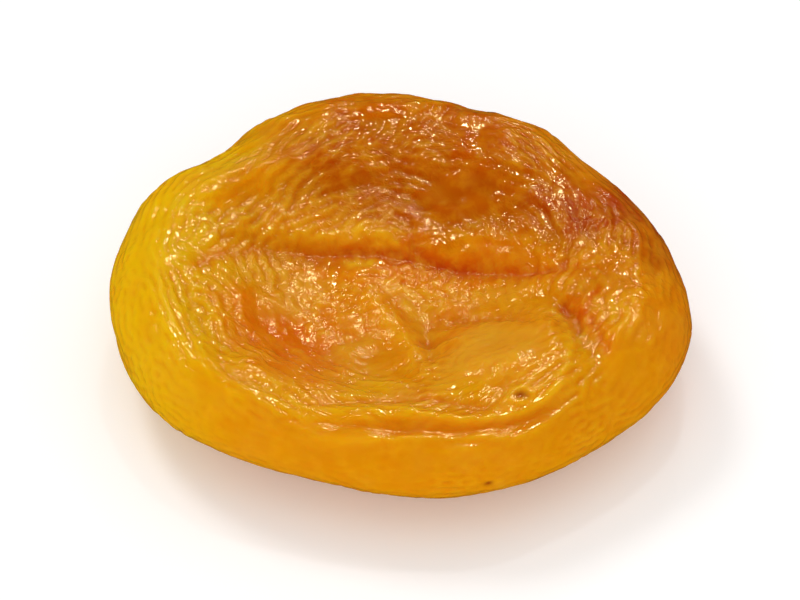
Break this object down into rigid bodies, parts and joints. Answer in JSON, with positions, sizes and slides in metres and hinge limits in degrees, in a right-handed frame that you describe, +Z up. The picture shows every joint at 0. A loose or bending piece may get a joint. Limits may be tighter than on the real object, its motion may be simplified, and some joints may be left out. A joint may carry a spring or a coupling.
{
  "type": "dried apricot",
  "caption": "Whole pitted dried apricot, plump yellow rim round a sunken, wrinkled orange face, lying flat.",
  "frame": {"origin": "middle of the fruit's outline seen from above, on the surface it rests on", "axes": "+X along the fruit's long side, +Y from its low front to its plump back, +Z up through the sunken face"},
  "size_m": [0.044, 0.0392, 0.0127],
  "materials": {
    "flesh": "satin"
  },
  "bodies": {
    "root": {"dried_apricot": "flesh"}
  },
  "joints": []
}
